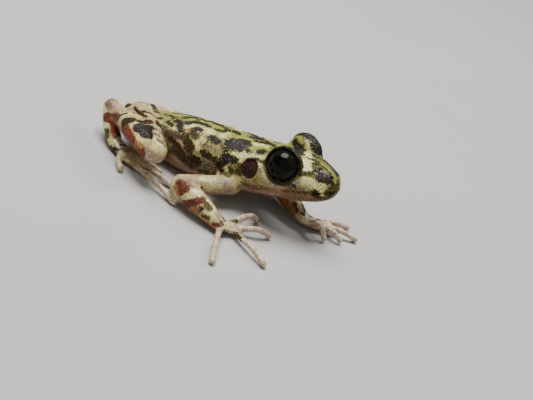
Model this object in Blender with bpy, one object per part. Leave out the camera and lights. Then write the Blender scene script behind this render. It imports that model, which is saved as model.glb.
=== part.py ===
"""Mallorcan midwife toad, life size, sitting with its belly on the ground, its head raised and its legs folded.

Numbers are in millimetres, and MM turns them into Blender's metres. +X is forward, +Y is the animal's left and
+Z is up. The ground is z = 0. At the end the middle of the whole box is brought over the origin.
"""

import math

import bmesh
import bpy
from mathutils import Euler, Matrix, Vector
from mathutils.bvhtree import BVHTree

MM = 0.001
GAP = 0.3                        # free space between two parts that meet
SIDES = {"right": -1, "left": 1}

# Head, in its own frame: the origin is midway between the eye centres.
HEAD_AT = Vector((15.8, 0.0, 11.1))
HEAD_TURN = Euler((math.radians(3.5), math.radians(-15.5), math.radians(-7.5)), "XYZ")
EYE_Y = 4.1
EYE_R = 2.5
EYE_AXIS = Vector((0.16, 1.0, 0.2)).normalized()
EYE_GAP = 0.25
LID_THICK = 0.3
LID_RAISE = 0.12                 # the upper lid is thicker than the lower one by twice this
LID_OPEN = 0.5                   # how far out from the eye's centre its lids end
NECK_WAIST = 0.25                # how much narrower the neck is than a straight blend
NECK_X = -7.7                    # where head and torso part, in the head's frame
EAR = (-5.15, -1.7)              # x and z of the eardrum's middle on the side of the head
EAR_R = 1.4
EAR_GROOVE = 0.2
NOSTRIL = (7.3, -1.0)
NOSTRIL_R = 0.27
NOSTRIL_DEEP = 0.4
MOUTH_CENTRE_X = 1.0             # the lips' line runs round this point of the midline
MOUTH_SPAN = math.radians(124)   # from the front to each corner
MOUTH_FRONT_Z = -3.1
MOUTH_DROP = 0.7                 # the corners lie this much lower than the front
MOUTH_DEEP = 0.4
MOUTH_THICK = 0.16
MOUTH_STEPS = 26

# Stations along the head and the torso: x, half width, top, bottom, squareness.
HEAD_STATIONS = (
    (-5.0, 6.2, 0.75, -7.1, 2.35),
    (-2.0, 6.25, 0.95, -6.7, 2.4),
    (0.5, 5.95, 0.95, -6.3, 2.4),
    (3.0, 5.1, 0.7, -6.05, 2.35),
    (5.2, 4.15, 0.15, -5.75, 2.3),
    (6.8, 3.1, -0.5, -5.2, 2.2),
    (7.75, 2.1, -1.1, -4.6, 2.1),
    (8.2, 1.1, -1.7, -3.8, 2.0),
    (8.3, 0.4, -2.2, -3.0, 2.0),
)
TORSO_STATIONS = (
    (-14.6, 0.4, 3.4, 2.6, 2.0),
    (-14.2, 1.2, 4.0, 2.0, 2.0),
    (-12.8, 2.3, 4.7, 1.1, 2.1),
    (-10.2, 3.5, 5.5, 0.3, 2.15),
    (-7.0, 4.6, 6.7, -0.25, 2.15),
    (-4.4, 5.2, 7.7, -0.4, 2.15),
    (-2.0, 5.6, 8.3, -0.4, 2.15),
    (1.0, 5.9, 9.0, -0.3, 2.15),
    (4.5, 5.9, 9.8, 0.4, 2.2),
)

HEAD_WIDEST = 0.35               # a section is widest this far below its middle
TORSO_WIDEST = 0.2

# Joints of the limbs.
SHOULDER = {"right": (9.2, -4.9, 3.6), "left": (6.8, 4.2, 4.6)}
ELBOW = {"right": (3.4, -12.6, 3.3), "left": (12.6, 6.9, 2.9)}
WRIST = {"right": (12.1, -13.8, 1.35), "left": (21.2, 1.6, 1.45)}
HIP = {"right": (-10.7, -2.4, 5.0), "left": (-11.0, 2.3, 3.2)}
KNEE = {"right": (-2.6, -12.2, 5.9), "left": (0.2, 9.4, 2.25)}
HEEL = {"right": (-15.2, -4.3, 4.8), "left": (-14.8, 3.4, 2.0)}
SOLE = {"right": (-10.6, -8.1, 1.1), "left": (-9.2, 9.8, 1.0)}


# Limb segments from joint to joint: share of the length, half width, half height.
UPPER_ARM = ((0, 1.7, 1.7), (0.4, 1.55, 1.6), (1, 1.6, 1.65))
FOREARM = ((0, 1.65, 1.75), (0.35, 1.9, 1.8), (0.7, 1.7, 1.45), (1, 1.3, 1.05))
PALM = ((0, 1.45, 0.95), (0.35, 1.56, 0.87), (0.75, 1.7, 0.76), (1, 1.56, 0.63))
THIGH = ((0, 2.2, 2.4), (0.35, 2.5, 2.6), (0.75, 2.15, 2.3), (1, 2.0, 2.1))
SHANK = ((0, 2.0, 2.1), (0.3, 2.0, 2.1), (0.65, 1.6, 1.65), (1, 1.25, 1.3))
TARSUS = ((0, 1.35, 1.4), (0.4, 1.4, 1.3), (1, 1.3, 1.0))
FOOT = ((0, 1.25, 0.95), (0.35, 1.4, 0.87), (0.75, 1.85, 0.76), (1, 1.7, 0.63))
TARSUS_BOW = (-0.45, 0, -0.2)    # the middle of the tarsus lies this far off its straight line
PALM_LONG = 2.9
FOOT_LONG = 4.0
KNUCKLE_Z = 0.75
FOOT_AIM = 0.35                  # the foot points this far from its fourth toe towards its second

# Tips of the digits on the ground, from the inner one to the outer one, and how far each arches off it.
FINGER_TIPS = {
    "right": ((15.6, -5.3), (19.1, -7.8), (21.8, -16.3), (15.4, -23.0)),
    "left": ((26.2, 0.2), (28.6, 2.6), (30.6, 6.0), (28.2, 8.8)),
}
PALM_AIM = {"right": (14.3, -11.0), "left": (23.9, 4.0)}
FINGER_ARCH = (1.5, 1.0, 0.7, 0.5)
FINGER_ROOTS = (0.1, 0.7, 0.7, 0.1)         # how far along the palm each finger starts
FINGER_OUT = 0.7                 # and how far from the palm's middle line
TOE_TIPS = {
    "right": ((-4.6, -6.3), (-1.6, -7.4), (1.8, -9.6), (4.4, -13.9), (-6.2, -13.4)),
    "left": ((-2.6, 11.2), (0.3, 12.6), (3.4, 14.4), (5.6, 17.4), (-4.6, 17.6)),
}
TOE_ARCH = (0.3, 0.4, 0.5, 0.8, 0.3)
TOE_ROOTS = (0.35, 0.6, 0.75, 0.75, 0.7)   # how far along the foot each toe starts
TOE_SPREAD = 0.9                 # from one toe's root to the next
ARCH_PEAK = 0.6                  # how far along a digit its arch is highest
FINGER_R = 0.46
TOE_R = 0.46
ROOT_SWELL = 1.14                # a digit's root over its middle
TIP_SWELL = 1.08                 # and its rounded end
JOINT_SWELL = 0.07
DIGIT_BEND = 0.25                # a digit's middle lies this far to the side of its straight line
DIGIT_SINK = 0.1                 # how deep its tip is pressed flat on the ground
DIGIT_SHARES = (0.0, 0.12, 0.26, 0.4, 0.54, 0.68, 0.8)
DIGIT_END = ((0.9, 1.0), (0.95, 0.96), (0.985, 0.72), (1.0, 0.3))   # share of the length, share of the radius

SKIN_PALE = (0.62, 0.60, 0.40, 1.0)
SKIN_LEG = (0.60, 0.52, 0.36, 1.0)
SKIN_DIGIT = (0.64, 0.58, 0.48, 1.0)
EYE_BLACK = (0.02, 0.022, 0.015, 1.0)


def clear_scene():
    for obj in list(bpy.data.objects):
        bpy.data.objects.remove(obj, do_unlink=True)


def collection(name):
    made = bpy.data.collections.new(name)
    bpy.context.scene.collection.children.link(made)
    return made


def material(name, color, rough):
    made = bpy.data.materials.new(name)
    made.use_nodes = True
    shader = made.node_tree.nodes["Principled BSDF"]
    shader.inputs["Base Color"].default_value = color
    shader.inputs["Roughness"].default_value = rough
    shader.inputs["Metallic"].default_value = 0.0
    return made


def object_from(bm, name):
    """A new object in the toad's collection from a bmesh that is in millimetres."""
    bmesh.ops.recalc_face_normals(bm, faces=bm.faces)
    mesh = bpy.data.meshes.new(name)
    bm.to_mesh(mesh)
    bm.free()
    obj = bpy.data.objects.new(name, mesh)
    TOAD.objects.link(obj)
    return obj


def edit(obj, change):
    """Runs change(bm) on the object's mesh."""
    bm = bmesh.new()
    bm.from_mesh(obj.data)
    change(bm)
    bm.to_mesh(obj.data)
    bm.free()
    return obj


def spline(points, steps):
    """Points along a smooth Catmull-Rom curve through rows of numbers, with so many steps in each span."""
    rows = [tuple(p) for p in points]
    ends = [rows[0]] + rows + [rows[-1]]
    out = []
    for k in range(1, len(ends) - 2):
        before, start, end, after = ends[k - 1 : k + 3]
        for step in range(steps):
            t = step / steps
            row = []
            for a, b, c, d in zip(before, start, end, after):
                square, cube = 2 * a - 5 * b + 4 * c - d, 3 * b - a - 3 * c + d
                row.append(0.5 * (2 * b + (c - a) * t + square * t**2 + cube * t**3))
            out.append(tuple(row))
    out.append(rows[-1])
    return out


def ring(bm, centre, across, up, wide, high, low, square, count):
    """One closed ring of vertices: an ellipse made squarer or rounder, with its own upper and lower height."""
    power = 2.0 / square
    verts = []
    for k in range(count):
        angle = math.tau * k / count
        c, s = math.cos(angle), math.sin(angle)
        x = wide * math.copysign(abs(c) ** power, c)
        y = (high if s > 0 else low) * math.copysign(abs(s) ** power, s)
        verts.append(bm.verts.new(centre + across * x + up * y))
    return verts


def loft(name, sections, count):
    """A closed surface through rings, with a fan over each end."""
    bm = bmesh.new()
    rings = [ring(bm, *section, count) for section in sections]
    for a, b in zip(rings, rings[1:]):
        for k in range(count):
            bm.faces.new((a[k], a[(k + 1) % count], b[(k + 1) % count], b[k]))
    for end in (rings[0], rings[-1]):
        bmesh.ops.contextual_create(bm, geom=end)
    bmesh.ops.triangulate(bm, faces=[f for f in bm.faces if len(f.verts) > 4])
    return object_from(bm, name)


def grown(obj, by):
    """A copy of the object whose surface lies so far outside it."""
    copy = bpy.data.objects.new(obj.name + "_grown", obj.data.copy())
    CUTTERS.objects.link(copy)

    def push(bm):
        bm.normal_update()
        moves = [(v, v.normal * by) for v in bm.verts]
        for vert, move in moves:
            vert.co += move

    return edit(copy, push)


def boolean(obj, cutter, operation, keep=False):
    """Cuts the object with, or joins it to, the cutter, which is then removed."""
    mod = obj.modifiers.new("cut", "BOOLEAN")
    mod.operation = operation
    mod.solver = "EXACT"
    mod.object = cutter
    bpy.context.view_layer.update()
    mesh = bpy.data.meshes.new_from_object(obj.evaluated_get(bpy.context.evaluated_depsgraph_get()))
    obj.modifiers.clear()
    obj.data = mesh
    if not keep:
        bpy.data.objects.remove(cutter)
    return keep_largest(obj)


def keep_largest(obj):
    """Leaves only the object's largest closed surface."""

    def prune(bm):
        left, groups = set(bm.verts), []
        while left:
            group, todo = set(), [left.pop()]
            while todo:
                vert = todo.pop()
                group.add(vert)
                for edge in vert.link_edges:
                    other = edge.other_vert(vert)
                    if other in left:
                        left.discard(other)
                        todo.append(other)
            groups.append(group)
        best = max(groups, key=len)
        bmesh.ops.delete(bm, geom=[v for v in bm.verts if v not in best], context="VERTS")

    return edit(obj, prune)


def plane_cut(obj, point, normal):
    """Takes away what lies on the normal's side of a plane, and closes the cut."""

    def slice_off(bm):
        everything = bm.verts[:] + bm.edges[:] + bm.faces[:]
        plane = {"dist": 1e-5, "plane_co": point, "plane_no": normal}
        bmesh.ops.bisect_plane(bm, geom=everything, clear_outer=True, **plane)
        bmesh.ops.holes_fill(bm, edges=[e for e in bm.edges if e.is_boundary], sides=0)

    return edit(obj, slice_off)


def ball(name, centre, radius):
    bm = bmesh.new()
    bmesh.ops.create_uvsphere(bm, u_segments=22, v_segments=14, radius=radius)
    bmesh.ops.translate(bm, vec=centre, verts=bm.verts)
    return object_from(bm, name)


# Head and torso

HEAD_FRAME = Matrix.Translation(HEAD_AT) @ HEAD_TURN.to_matrix().to_4x4()


def head_point(x, y, z):
    return HEAD_FRAME @ Vector((x, y, z))


def head_dir(v):
    return (HEAD_TURN.to_matrix() @ Vector(v)).normalized()


def head_section(x, wide, top, bottom, square):
    middle = (top + bottom) / 2 - HEAD_WIDEST
    across, up = head_dir((0, 1, 0)), head_dir((0, 0, 1))
    return head_point(x, 0, middle), across, up, wide, top - middle, middle - bottom, square


def torso_section(x, wide, top, bottom, square):
    middle = (top + bottom) / 2 - TORSO_WIDEST
    across, up = Vector((0, 1, 0)), Vector((0, 0, 1))
    return Vector((x, 0, middle)), across, up, wide, top - middle, middle - bottom, square


def trunk_sections():
    """Sections from the vent to the snout, where the neck blends the torso's last one into the head's first."""
    torso = [torso_section(*row) for row in spline(TORSO_STATIONS, 2)]
    head = [head_section(*row) for row in spline(HEAD_STATIONS, 3)]
    neck = []
    for t in (0.25, 0.5, 0.75):
        pairs = zip(torso[-1], head[0])
        mix = [p.lerp(q, t) if isinstance(p, Vector) else p + (q - p) * t for p, q in pairs]
        mix[3] -= NECK_WAIST * math.sin(math.pi * t)
        neck.append(tuple(mix))
    return torso + neck + head


def surface_of(obj):
    bm = bmesh.new()
    bm.from_mesh(obj.data)
    tree = BVHTree.FromBMesh(bm)
    bm.free()
    return tree


def mouth_cutter(surface):
    """A tube with a diamond section that follows the closed lips round the head."""
    bm = bmesh.new()
    rings = []
    for step in range(MOUTH_STEPS + 1):
        angle = MOUTH_SPAN * (2 * step / MOUTH_STEPS - 1)
        fall = MOUTH_DROP * (1 - math.cos(angle)) / (1 - math.cos(MOUTH_SPAN))
        out = head_dir((math.cos(angle), math.sin(angle), 0))
        at = surface.ray_cast(head_point(MOUTH_CENTRE_X, 0, MOUTH_FRONT_Z - fall), out)[0]
        deep = MOUTH_DEEP * (1 - 0.6 * abs(angle / MOUTH_SPAN) ** 6)
        rings.append(ring(bm, at, out, head_dir((0, 0, 1)), deep, MOUTH_THICK, MOUTH_THICK, 2.0, 4))
    for a, b in zip(rings, rings[1:]):
        for k in range(4):
            bm.faces.new((a[k], a[(k + 1) % 4], b[(k + 1) % 4], b[k]))
    bm.faces.new(rings[0])
    bm.faces.new(rings[-1])
    return object_from(bm, "mouth_cut")


def eye_centre(side):
    return head_point(0, SIDES[side] * EYE_Y, 0)


def eye_axis(side):
    return head_dir((EYE_AXIS.x, SIDES[side] * EYE_AXIS.y, EYE_AXIS.z))


def facing(surface, side, x, z):
    """The frame of a point on the side of the head, with its Z along the skin's outward normal."""
    at, normal, _, _ = surface.ray_cast(head_point(x, 0, z), head_dir((0, SIDES[side], 0)))
    return Matrix.Translation(at) @ normal.to_track_quat("Z", "Y").to_matrix().to_4x4()


def ear_cutter(surface, side):
    """The groove round the eardrum."""
    bm = bmesh.new()
    corners = [math.tau * k / 4 for k in range(4)]
    profile = [
        bm.verts.new((EAR_R + EAR_GROOVE * math.cos(a), 0, 1.5 * EAR_GROOVE * math.sin(a))) for a in corners
    ]
    loop = [bm.edges.new((profile[k], profile[(k + 1) % 4])) for k in range(4)]
    turn = {"cent": (0, 0, 0), "axis": (0, 0, 1), "angle": math.tau, "steps": 18}
    bmesh.ops.spin(bm, geom=profile + loop, use_merge=True, **turn)
    bmesh.ops.transform(bm, matrix=facing(surface, side, *EAR), verts=bm.verts)
    return object_from(bm, "ear_cut")


def nostril_cutter(surface, side):
    bm = bmesh.new()
    bmesh.ops.create_cone(
        bm, cap_ends=True, segments=8, radius1=NOSTRIL_R / 2, radius2=NOSTRIL_R * 1.3, depth=2 * NOSTRIL_DEEP
    )
    bmesh.ops.transform(bm, matrix=facing(surface, side, *NOSTRIL), verts=bm.verts)
    return object_from(bm, "nostril_cut")


def build_torso(trunk):
    torso = bpy.data.objects.new("torso", trunk.data.copy())
    TOAD.objects.link(torso)
    forward = head_dir((1, 0, 0))
    return plane_cut(torso, head_point(NECK_X, 0, 0) - forward * GAP / 2, forward)


def build_head(trunk):
    head = bpy.data.objects.new("head", trunk.data.copy())
    TOAD.objects.link(head)
    forward = head_dir((1, 0, 0))
    plane_cut(head, head_point(NECK_X, 0, 0) + forward * GAP / 2, -forward)
    for side in SIDES:
        lid = ball("lid_ball", eye_centre(side) + Vector((0, 0, LID_RAISE)), EYE_R + EYE_GAP + LID_THICK)
        boolean(head, lid, "UNION")
    for side in SIDES:
        centre, axis = eye_centre(side), eye_axis(side)
        dome = ball("lid_opening", centre, EYE_R + EYE_GAP + 2 * LID_THICK)
        plane_cut(dome, centre + axis * LID_OPEN, -axis)
        boolean(head, dome, "DIFFERENCE")
        boolean(head, ball("socket", centre, EYE_R + EYE_GAP), "DIFFERENCE")
    surface = surface_of(trunk)
    boolean(head, mouth_cutter(surface), "DIFFERENCE")
    for side in SIDES:
        boolean(head, ear_cutter(surface, side), "DIFFERENCE")
        boolean(head, nostril_cutter(surface, side), "DIFFERENCE")
    return head


# Limbs

def limb(name, start, end, rows, count=14, bow=(0, 0, 0)):
    """A muscle-shaped segment from joint to joint, with round ends."""
    bow = Vector(bow)
    along = (end - start).normalized()
    across = along.cross(Vector((0, 0, 1))).normalized()
    rise = across.cross(along).normalized()
    length = (end - start).length
    first, last = rows[0], rows[-1]
    stations = []
    for angle in (0.25, 0.6, 0.9):
        s, c = math.sin(angle * math.pi / 2), math.cos(angle * math.pi / 2)
        stations.append((-first[1] * c, first[1] * s, first[2] * s))
    stations += [(share * length, wide, high) for share, wide, high in spline(rows, 3)]
    for angle in (0.9, 0.6, 0.25):
        s, c = math.sin(angle * math.pi / 2), math.cos(angle * math.pi / 2)
        stations.append((length + last[1] * c, last[1] * s, last[2] * s))
    sections = []
    for at, wide, high in stations:
        t = min(max(at / length, 0.0), 1.0)
        centre = start + along * at + bow * math.sin(math.pi * t)
        sections.append((centre, across, rise, wide, high, high, 2.0))
    return loft(name, sections, count)


def part_at(a, b, joint, from_a, from_b):
    """Parts two segments that share a joint by the plane that halves their angle, with the gap between them."""
    joint = Vector(joint)
    normal = ((Vector(from_b) - joint).normalized() - (Vector(from_a) - joint).normalized()).normalized()
    plane_cut(a, joint - normal * GAP / 2, normal)
    plane_cut(b, joint + normal * GAP / 2, -normal)


def digit(name, root, tip, arch, radius):
    """A finger or toe: a tube along a smooth path that arches off the ground and comes down at the tip."""
    root, tip = Vector(root), Vector((tip[0], tip[1], radius - DIGIT_SINK))
    curve = bpy.data.curves.new(name, "CURVE")
    curve.dimensions = "3D"
    curve.bevel_depth = radius
    curve.bevel_resolution = 2
    curve.use_fill_caps = True
    stations = [(t, 1.0) for t in DIGIT_SHARES] + [(t, TIP_SWELL * share) for t, share in DIGIT_END]
    line = curve.splines.new("POLY")
    line.points.add(len(stations) - 1)
    side = (tip - root).cross(Vector((0, 0, 1))).normalized()
    peak_power = math.log(0.5) / math.log(ARCH_PEAK)
    for point, (t, share) in zip(line.points, stations):
        lift = Vector((0, 0, arch * math.sin(math.pi * t**peak_power)))
        at = root.lerp(tip, t) + lift + side * DIGIT_BEND * math.sin(math.pi * t)
        point.co = (*at, 1.0)
        thick = 1.0 + (ROOT_SWELL - 1.0) * (1 - t) ** 1.5 + JOINT_SWELL * math.sin(3 * math.pi * t) ** 2
        point.radius = thick * share
    tube = bpy.data.objects.new(name + "_curve", curve)
    TOAD.objects.link(tube)
    bpy.context.view_layer.update()
    mesh = bpy.data.meshes.new_from_object(tube.evaluated_get(bpy.context.evaluated_depsgraph_get()))
    bpy.data.objects.remove(tube)
    obj = bpy.data.objects.new(name, mesh)
    TOAD.objects.link(obj)

    def weld(bm):
        bmesh.ops.remove_doubles(bm, verts=bm.verts, dist=1e-4)
        bmesh.ops.recalc_face_normals(bm, faces=bm.faces)

    return on_ground(edit(obj, weld))


def on_ground(obj):
    """Presses what would reach below the ground flat on it."""
    return plane_cut(obj, (0, 0, 0), (0, 0, -1))


def flat(x_y, z):
    return Vector((x_y[0], x_y[1], z))


def build_digits(kind, side, roots, tips, arches, radius, skins):
    """The digits of one hand or foot, each cut free of the skins round it and of the digit before it."""
    made = []
    for number, (root, tip, arch) in enumerate(zip(roots, tips, arches), 1):
        one = digit(f"{kind}_{side}_{number}", root, tip, arch, radius)
        for skin in skins:
            boolean(one, skin, "DIFFERENCE", keep=True)
        if made:
            boolean(one, grown(made[-1], GAP), "DIFFERENCE")
        made.append(one)
    for skin in skins:
        bpy.data.objects.remove(skin)
    return made


def build_arm(side, trunk_skin):
    shoulder, elbow, wrist = (Vector(joint[side]) for joint in (SHOULDER, ELBOW, WRIST))
    tips = FINGER_TIPS[side]
    knuckle = wrist + (flat(PALM_AIM[side], KNUCKLE_Z) - wrist).normalized() * PALM_LONG
    knuckle.z = KNUCKLE_Z
    upper = limb("upper_arm_" + side, shoulder, elbow, UPPER_ARM)
    fore = limb("forearm_" + side, elbow, wrist, FOREARM)
    hand = on_ground(limb("hand_" + side, wrist, knuckle, PALM, 18))
    part_at(upper, fore, elbow, shoulder, wrist)
    part_at(fore, hand, wrist, elbow, knuckle)
    boolean(upper, trunk_skin, "DIFFERENCE", keep=True)
    boolean(fore, trunk_skin, "DIFFERENCE", keep=True)
    roots = []
    for share, tip in zip(FINGER_ROOTS, tips):
        centre = wrist.lerp(knuckle, share)
        roots.append(centre + (flat(tip, centre.z) - centre).normalized() * FINGER_OUT)
    skins = [grown(hand, GAP), grown(fore, GAP)]
    return [upper, fore, hand] + build_digits("finger", side, roots, tips, FINGER_ARCH, FINGER_R, skins)


def build_leg(side, trunk_skin):
    hip, knee, heel, sole = (Vector(joint[side]) for joint in (HIP, KNEE, HEEL, SOLE))
    tips = TOE_TIPS[side]
    aim = flat(tips[3], KNUCKLE_Z).lerp(flat(tips[1], KNUCKLE_Z), FOOT_AIM)
    knuckle = sole + (aim - sole).normalized() * FOOT_LONG
    knuckle.z = KNUCKLE_Z
    thigh = limb("thigh_" + side, hip, knee, THIGH)
    shank = limb("shank_" + side, knee, heel, SHANK)
    tarsus = limb("tarsus_" + side, heel, sole, TARSUS, bow=TARSUS_BOW)
    foot = on_ground(limb("foot_" + side, sole, knuckle, FOOT, 18))
    part_at(thigh, shank, knee, hip, heel)
    part_at(shank, tarsus, heel, knee, sole)
    part_at(tarsus, foot, sole, heel, knuckle)
    for obj in (thigh, shank, tarsus):
        boolean(obj, trunk_skin, "DIFFERENCE", keep=True)
    boolean(foot, grown(shank, GAP), "DIFFERENCE")
    forward = (knuckle - sole).normalized()
    outward = Vector((forward.y, -forward.x, 0)).normalized() * -SIDES[side]
    roots = []
    for number, share in enumerate(TOE_ROOTS, 1):
        root = sole.lerp(knuckle, share) + outward * (number - 3) * TOE_SPREAD
        roots.append(flat(root, KNUCKLE_Z))
    skins = [grown(foot, GAP), grown(shank, GAP)]
    return [thigh, shank, tarsus, foot] + build_digits("toe", side, roots, tips, TOE_ARCH, TOE_R, skins)


def box_shift(objects):
    """The move that brings the middle of the whole animal's box over the origin."""
    xs, ys = ([v.co[k] for obj in objects for v in obj.data.vertices] for k in (0, 1))
    return Matrix.Translation((-(min(xs) + max(xs)) / 2, -(min(ys) + max(ys)) / 2, 0))


def finish(obj, paint, shift):
    """Puts the part in its place in metres, with its own origin in its middle, and gives it its material."""
    obj.data.transform(Matrix.Scale(MM, 4) @ shift)
    middle = sum((v.co for v in obj.data.vertices), Vector()) / len(obj.data.vertices)
    obj.data.transform(Matrix.Translation(-middle))
    obj.location = middle
    obj.data.materials.clear()
    obj.data.materials.append(paint)
    obj.data.shade_smooth()
    obj.data.set_sharp_from_angle(angle=math.radians(40))


clear_scene()
TOAD = collection("midwife_toad")
CUTTERS = collection("cutters")
pale = material("skin_body", SKIN_PALE, 0.45)
leg = material("skin_leg", SKIN_LEG, 0.45)
digit_skin = material("skin_digit", SKIN_DIGIT, 0.5)
eye_black = material("eye", EYE_BLACK, 0.08)

trunk = on_ground(loft("trunk", trunk_sections(), 32))
trunk_skin = grown(trunk, GAP)
parts = []
for side in SIDES:
    for obj in build_arm(side, trunk_skin) + build_leg(side, trunk_skin):
        parts.append((obj, digit_skin if obj.name.startswith(("finger", "toe", "hand", "foot")) else leg))
parts.append((build_torso(trunk), pale))
parts.append((build_head(trunk), pale))
for side in SIDES:
    parts.append((ball("eye_" + side, eye_centre(side), EYE_R), eye_black))
bpy.data.objects.remove(trunk)
bpy.data.objects.remove(trunk_skin)
shift = box_shift([obj for obj, paint in parts])
for obj, paint in parts:
    finish(obj, paint, shift)
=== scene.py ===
import math
import random

import bmesh
import bpy
import numpy as np
from mathutils import Euler, Matrix, Vector, noise
from mathutils.bvhtree import BVHTree


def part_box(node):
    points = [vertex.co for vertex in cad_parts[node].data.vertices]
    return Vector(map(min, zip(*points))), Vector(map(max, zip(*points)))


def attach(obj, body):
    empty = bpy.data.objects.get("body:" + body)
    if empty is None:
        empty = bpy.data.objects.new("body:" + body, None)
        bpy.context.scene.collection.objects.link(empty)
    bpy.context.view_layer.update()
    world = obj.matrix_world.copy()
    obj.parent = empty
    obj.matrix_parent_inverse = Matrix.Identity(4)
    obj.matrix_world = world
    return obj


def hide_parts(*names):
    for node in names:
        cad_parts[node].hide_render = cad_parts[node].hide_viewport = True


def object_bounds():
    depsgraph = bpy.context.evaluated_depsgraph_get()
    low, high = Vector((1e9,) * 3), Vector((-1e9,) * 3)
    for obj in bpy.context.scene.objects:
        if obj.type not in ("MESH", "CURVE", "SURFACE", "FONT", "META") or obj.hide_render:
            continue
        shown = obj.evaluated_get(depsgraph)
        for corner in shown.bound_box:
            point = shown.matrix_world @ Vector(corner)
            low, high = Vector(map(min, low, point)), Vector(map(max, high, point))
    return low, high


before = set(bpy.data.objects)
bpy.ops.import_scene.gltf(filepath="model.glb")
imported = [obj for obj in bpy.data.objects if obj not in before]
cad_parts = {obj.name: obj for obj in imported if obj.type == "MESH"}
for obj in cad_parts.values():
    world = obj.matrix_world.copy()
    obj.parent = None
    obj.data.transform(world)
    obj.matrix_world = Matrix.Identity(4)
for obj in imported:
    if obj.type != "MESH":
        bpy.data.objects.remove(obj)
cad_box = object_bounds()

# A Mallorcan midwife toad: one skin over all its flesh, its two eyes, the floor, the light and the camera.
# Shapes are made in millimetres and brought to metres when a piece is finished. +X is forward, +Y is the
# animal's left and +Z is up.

MM = 0.001
SIDES = {"right": -1, "left": 1}
EYES = {side: sum(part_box("eye_" + side), Vector()) / 2 / MM for side in SIDES}
HEAD_AT = (EYES["right"] + EYES["left"]) / 2
HEAD_ROT = Euler([math.radians(turn) for turn in (3.5, -15.5, -7.5)]).to_matrix()
SHIFT = HEAD_AT - Vector((15.8, 0, 11.1))  # joints and marks are given from a midline at y = 0
EYE_R = 2.5
EYE_AXIS = Vector((0.16, 1.0, 0.2)).normalized()

# How the skin is drawn over the flesh.
VOXEL = 0.2
SWELL = 0.22  # flesh swells by this, to join over the gaps between nodes
DIGIT_ROOM = 0.2  # skin this near to a finger or toe is smoothed less
HEAD_FROM = -7.0  # the skin's mesh is finer in front of this x of the head's frame
HEAD_HALF_WIDE = 7.2
HEAD_UNDER = -6.6
LIP_NEAR = 0.55  # and finer again this near to the lips
NOSTRIL_NEAR = 0.8  # and to the nostrils
SKIN_TRIANGLES = 196000

# Head, in its own frame: the origin is midway between the eyes.
LID_REST = 2.53  # lids lie on the eyeball at this radius
LID_RIM = 0.5  # how far out from the eye's centre they end
LID_EDGE_UNDER = 0.07  # how far the lid's edge stands out below the eye
LID_EDGE_MORE = 0.23  # and how much further above it
LID_CREASE = 0.09
LID_CREASE_R = 3.6
EAR = (-5.0, -1.7)
EAR_R = 1.5
EAR_TALL = 1.12  # how much taller the eardrum is than long
EAR_SUNK = 0.14
EAR_RIM = 0.13
EAR_KNOB = 0.06  # how far the eardrum's middle stands out
NOSTRIL = (7.3, -1.0)
NOSTRIL_DEEP = 0.42
NOSTRIL_RIM = 0.1
MOUTH_CENTRE_X = 1.0
MOUTH_SPAN = math.radians(124)
MOUTH_FRONT_Z = -3.1
MOUTH_DROP = 0.7
MOUTH_STEPS = 24  # on each side
MOUTH_DEEP = 0.24
LIP_SWELL = 0.05

# Warts, granules and the joints of the digits.
WART_HIGH = 0.1
WART_WIDE = 0.34  # in shares of the gap between warts
WARTS_PER_MM = 1.25
RIPPLES = ((0.035, 1.1), (0.08, 0.42))  # height, and how many to a millimetre
DIGIT_JOINTS = (0.08, 0.37, 0.64, 0.92)  # shares of a digit's length
JOINT_LONG = 0.045
JOINT_SWELL = 0.07

# Marks, and the head's folds, further to the right than this have a fellow on the left.
FELLOW_FROM = 1.2
FOLD_FELLOW_FROM = 0.5
FELLOW_MOVE = (0.7, 0.2)  # how far along and up it is moved at most
FAR_OFF = 3.0  # places further from a mark count as this far

# The limbs' joints, each on the right side and on the left.
JOINTS = {
    "shoulder": ((9.2, -4.9, 3.6), (6.8, 4.2, 4.6)),
    "elbow": ((3.4, -12.6, 3.3), (12.6, 6.9, 2.9)),
    "wrist": ((12.1, -13.8, 1.35), (21.2, 1.6, 1.45)),
    "knuckle": ((13.87, -11.55, 0.75), (23.33, 3.49, 0.75)),
    "hip": ((-10.7, -2.4, 5), (-11, 2.3, 3.2)),
    "knee": ((-2.6, -12.2, 5.9), (0.2, 9.4, 2.25)),
    "heel": ((-15.2, -4.3, 4.8), (-14.8, 3.4, 2)),
    "sole": ((-10.6, -8.1, 1.1), (-9.2, 9.8, 1)),
    "ball": ((-6.74, -9.15, 0.75), (-5.56, 11.46, 0.75)),
}
SEGMENTS = {
    "upper_arm": ("shoulder", "elbow"),
    "forearm": ("elbow", "wrist"),
    "hand": ("wrist", "knuckle"),
    "thigh": ("hip", "knee"),
    "shank": ("knee", "heel"),
    "tarsus": ("heel", "sole"),
    "foot": ("sole", "ball"),
}

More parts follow.
